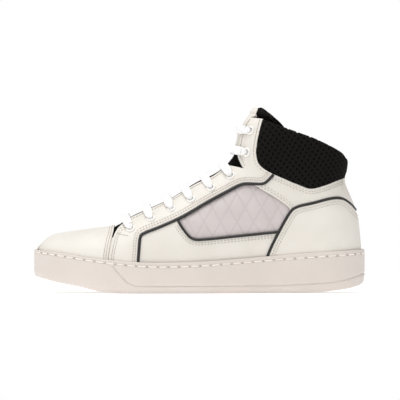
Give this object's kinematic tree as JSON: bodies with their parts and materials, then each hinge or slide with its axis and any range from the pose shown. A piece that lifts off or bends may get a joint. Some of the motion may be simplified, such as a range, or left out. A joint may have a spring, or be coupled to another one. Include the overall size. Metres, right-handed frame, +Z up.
{
  "type": "high top trainer",
  "caption": "Left high top trainer with a stitched cupsole, piped leather panels, padded mesh collar, separate tongue on a tilt joint and a flat lace in straight bars",
  "frame": {"origin": "On the ground under the middle of the outsole: the sole face rests at z = 0, x = 0 is half way between toe and heel.", "axes": "X runs from the toe (-X) to the heel (+X), Y from the outer side of the foot (-Y) to the inner side (+Y), Z is up."},
  "size_m": [0.3036, 0.1086, 0.1704],
  "materials": {
    "leather_white": "smooth full-grain leather, lightly grained",
    "leather_window": "padded coated panel with a shallow pressed pattern",
    "rubber_sole": "moulded rubber, satin, fine texture",
    "piping_black": "rolled leather piping",
    "mesh_black": "honeycomb spacer mesh",
    "textile_white": "brushed lining textile",
    "foam_pale": "open-cell and moulded foam",
    "board": "pressed fibre board",
    "lace_white": "flat woven lace",
    "eyelet_white": "enamelled brass",
    "thread_white": "waxed sewing thread"
  },
  "bodies": {
    "shoe": {"outsole": "rubber_sole", "cup_sidewall": "rubber_sole", "midsole_foam": "foam_pale", "sole_stitch_thread": "thread_white", "insole_board": "board", "footbed": "textile_white", "toe_cap": "leather_white", "toe_puff": "board", "vamp": "leather_white", "vamp_lining": "textile_white", "eyestay_lateral": "leather_white", "eyestay_piping_lateral": "piping_black", "eyestay_backing_lateral": "textile_white", "quarter_lateral": "leather_white", "quarter_piping_lateral": "piping_black", "side_window_lateral": "leather_window", "ankle_band_lateral": "leather_white", "eyestay_medial": "leather_white", "eyestay_piping_medial": "piping_black", "eyestay_backing_medial": "textile_white", "quarter_medial": "leather_white", "quarter_piping_medial": "piping_black", "side_window_medial": "leather_window", "ankle_band_medial": "leather_white", "heel_counter": "leather_white", "heel_counter_piping": "piping_black", "backstay": "leather_white", "heel_stiffener": "board", "collar_mesh": "mesh_black", "collar_foam_lateral": "foam_pale", "collar_foam_medial": "foam_pale", "quarter_lining_lateral": "textile_white", "quarter_lining_medial": "textile_white", "heel_lining": "textile_white", "collar_lining": "mesh_black", "eyelet_lateral_1": "eyelet_white", "eyelet_lateral_2": "eyelet_white", "eyelet_lateral_3": "eyelet_white", "eyelet_lateral_4": "eyelet_white", "eyelet_lateral_5": "eyelet_white", "eyelet_lateral_6": "eyelet_white", "eyelet_lateral_7": "eyelet_white", "eyelet_lateral_8": "eyelet_white", "eyelet_medial_1": "eyelet_white", "eyelet_medial_2": "eyelet_white", "eyelet_medial_3": "eyelet_white", "eyelet_medial_4": "eyelet_white", "eyelet_medial_5": "eyelet_white", "eyelet_medial_6": "eyelet_white", "eyelet_medial_7": "eyelet_white", "eyelet_medial_8": "eyelet_white", "lace": "lace_white"},
    "tongue": {"tongue_mesh": "mesh_black", "tongue_foam": "foam_pale", "tongue_lining": "mesh_black", "tongue_patch": "leather_white"}
  },
  "joints": [
    {"name": "tongue_tilt", "type": "hinge", "parent": "shoe", "child": "tongue", "pos_m": [-0.071, 0, 0.056], "axis": [0, 1, 0], "range_deg": [0, 8]}
  ]
}
